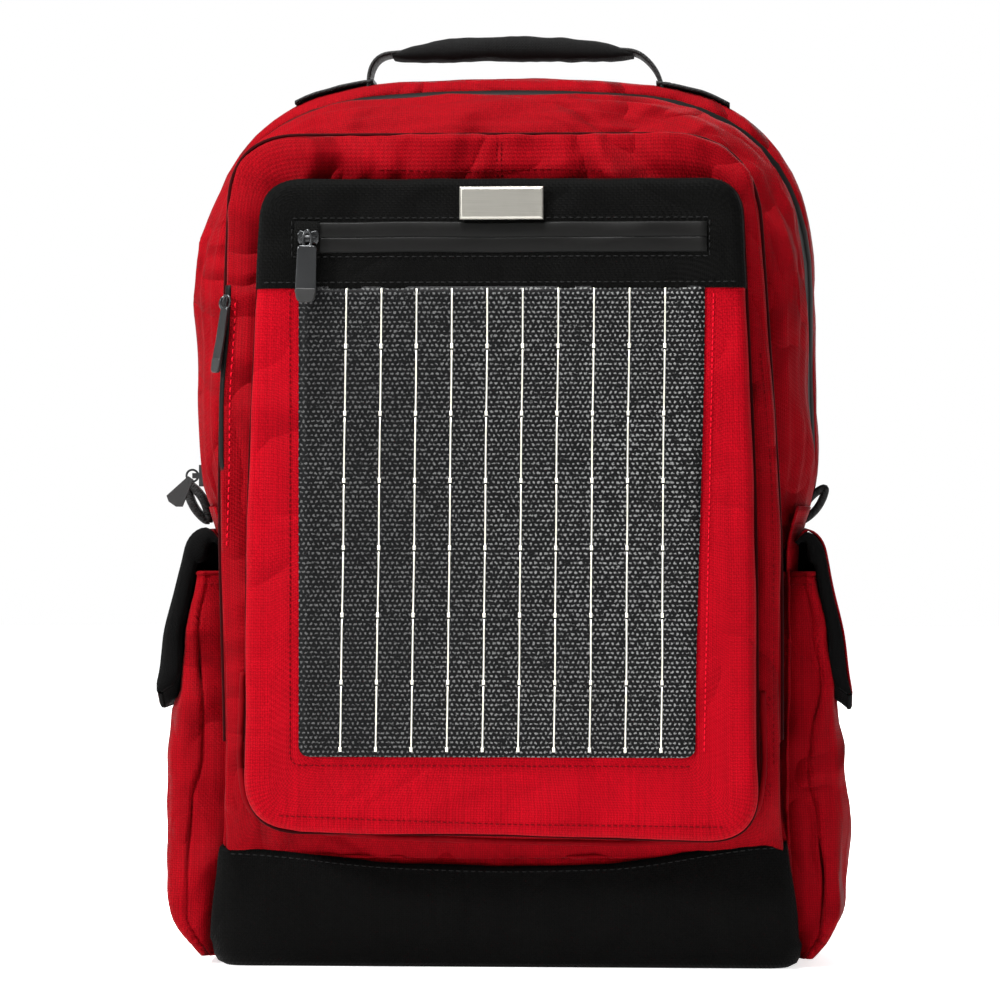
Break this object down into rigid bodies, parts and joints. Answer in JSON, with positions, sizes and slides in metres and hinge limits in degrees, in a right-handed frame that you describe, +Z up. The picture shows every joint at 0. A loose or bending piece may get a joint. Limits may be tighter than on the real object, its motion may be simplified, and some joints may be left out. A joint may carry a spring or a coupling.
{
  "type": "solar backpack",
  "caption": "Laptop backpack in red and black fabric with a flexible solar panel on its front pocket, side pockets, a top handle and padded shoulder straps.",
  "frame": {"origin": "on the underside of the base, midway between the sides and level with the zip's depth", "axes": "+X to the right seen from the front, +Y towards the wearer's back, +Z up; the solar panel faces -Y"},
  "size_m": [0.3886, 0.2629, 0.5105],
  "materials": {
    "red_fabric": "woven polyester, matt with a slight sheen",
    "black_fabric": "coated woven polyester",
    "black_mesh": "spacer mesh over foam",
    "black_webbing": "ribbed polyester webbing",
    "coated_tape": "coated water-resistant zip tape",
    "slider_metal": "dark satin paint",
    "fob_rubber": "moulded fob",
    "buckle_plastic": "moulded plastic",
    "stiffener_plastic": "plain sheet",
    "plate_metal": "satin, bevelled edge",
    "solar_cell": "dark thin-film cells",
    "solar_backing": "dark laminate",
    "ribbon_metal": "tinned ribbon",
    "solar_clear": "clear film with a dotted texture",
    "board_green": "circuit board",
    "port_metal": "plated shell"
  },
  "bodies": {
    "bag": {"back_panel": "black_fabric", "back_pad_right": "black_mesh", "back_pad_left": "black_mesh", "lumbar_pad": "black_mesh", "strap_yoke": "black_fabric", "rear_gusset": "red_fabric", "side_wall_right": "red_fabric", "side_wall_left": "red_fabric", "base_panel": "black_fabric", "base_stiffener": "stiffener_plastic", "laptop_divider": "black_fabric", "side_pocket_right": "red_fabric", "side_pocket_left": "red_fabric", "side_flap_root_right": "red_fabric", "side_flap_root_left": "red_fabric", "main_zip_tape_rear": "coated_tape", "zip_end_tab_right": "black_webbing", "zip_end_tab_left": "black_webbing", "handle_anchor_right": "black_webbing", "handle_anchor_left": "black_webbing", "hang_loop": "black_webbing", "strap_root_right": "black_fabric", "strap_root_left": "black_fabric", "strap_anchor_right": "black_webbing", "strap_anchor_left": "black_webbing"},
    "front": {"front_wall": "red_fabric", "front_gusset": "red_fabric", "main_zip_tape_front": "coated_tape", "front_pocket": "red_fabric", "pocket_zip_tape": "coated_tape", "solar_pocket": "red_fabric", "header_panel": "black_fabric", "panel_zip_tape": "coated_tape", "name_plate": "plate_metal", "solar_backsheet": "solar_backing", "solar_cells": "solar_cell", "solar_ribbons": "ribbon_metal", "solar_film": "solar_clear", "controller_case": "buckle_plastic", "controller_board": "board_green", "controller_lid": "buckle_plastic", "usb_port": "port_metal"},
    "handle": {"handle_webbing": "black_webbing", "handle_grip": "black_fabric"},
    "side_flap_right": {"side_flap_right": "red_fabric"},
    "side_flap_left": {"side_flap_left": "red_fabric"},
    "strap_right": {"strap_pad_right": "black_fabric", "ladder_lock_right": "buckle_plastic", "strap_webbing_right": "black_webbing"},
    "strap_left": {"strap_pad_left": "black_fabric", "ladder_lock_left": "buckle_plastic", "strap_webbing_left": "black_webbing"},
    "main_slider": {"main_slider": "slider_metal"},
    "main_puller": {"main_ring": "slider_metal", "main_puller": "fob_rubber"},
    "pocket_slider": {"pocket_slider": "slider_metal"},
    "pocket_puller": {"pocket_puller": "slider_metal"},
    "panel_slider": {"panel_slider": "slider_metal"},
    "panel_puller": {"panel_puller": "slider_metal"}
  },
  "joints": [
    {"name": "main_opening", "type": "hinge", "parent": "bag", "child": "front", "pos_m": [0, -0.044, 0.064], "axis": [1, 0, 0], "range_deg": [0, 15]},
    {"name": "handle_fold", "type": "hinge", "parent": "bag", "child": "handle", "pos_m": [0, 0.038, 0.4835], "axis": [1, 0, 0], "range_deg": [-40, 40]},
    {"name": "side_flap_right_lift", "type": "hinge", "parent": "bag", "child": "side_flap_right", "pos_m": [0.1775, 0, 0.229], "axis": [0, -1, 0], "range_deg": [0, 110]},
    {"name": "side_flap_left_lift", "type": "hinge", "parent": "bag", "child": "side_flap_left", "pos_m": [-0.1775, 0, 0.229], "axis": [0, 1, 0], "range_deg": [0, 110]},
    {"name": "strap_right_swing", "type": "hinge", "parent": "bag", "child": "strap_right", "pos_m": [0.164, 0.086, 0.047], "axis": [-0.2805, 0.0301, 0.9594], "range_deg": [-20, 20]},
    {"name": "strap_left_swing", "type": "hinge", "parent": "bag", "child": "strap_left", "pos_m": [-0.164, 0.086, 0.047], "axis": [0.2805, 0.0301, 0.9594], "range_deg": [-20, 20]},
    {"name": "main_slider_travel", "type": "slide", "parent": "bag", "child": "main_slider", "axis": [0, 0, 1], "range_m": [0, 0.08]},
    {"name": "main_puller_swing", "type": "hinge", "parent": "main_slider", "child": "main_puller", "pos_m": [-0.1776, 0.01, 0.2655], "axis": [0, 1, 0], "range_deg": [-20, 110]},
    {"name": "pocket_slider_travel", "type": "slide", "parent": "front", "child": "pocket_slider", "axis": [-0.0354, 0, -0.9994], "range_m": [0, 0.118]},
    {"name": "pocket_puller_swing", "type": "hinge", "parent": "pocket_slider", "child": "pocket_puller", "pos_m": [-0.1578, -0.065, 0.358], "axis": [0, 1, 0], "range_deg": [-8, 140]},
    {"name": "panel_slider_travel", "type": "slide", "parent": "front", "child": "panel_slider", "axis": [1, 0, 0], "range_m": [0, 0.195]},
    {"name": "panel_puller_swing", "type": "hinge", "parent": "panel_slider", "child": "panel_puller", "pos_m": [-0.102, -0.1048, 0.391], "axis": [-1, 0, 0], "range_deg": [-8, 140]}
  ]
}
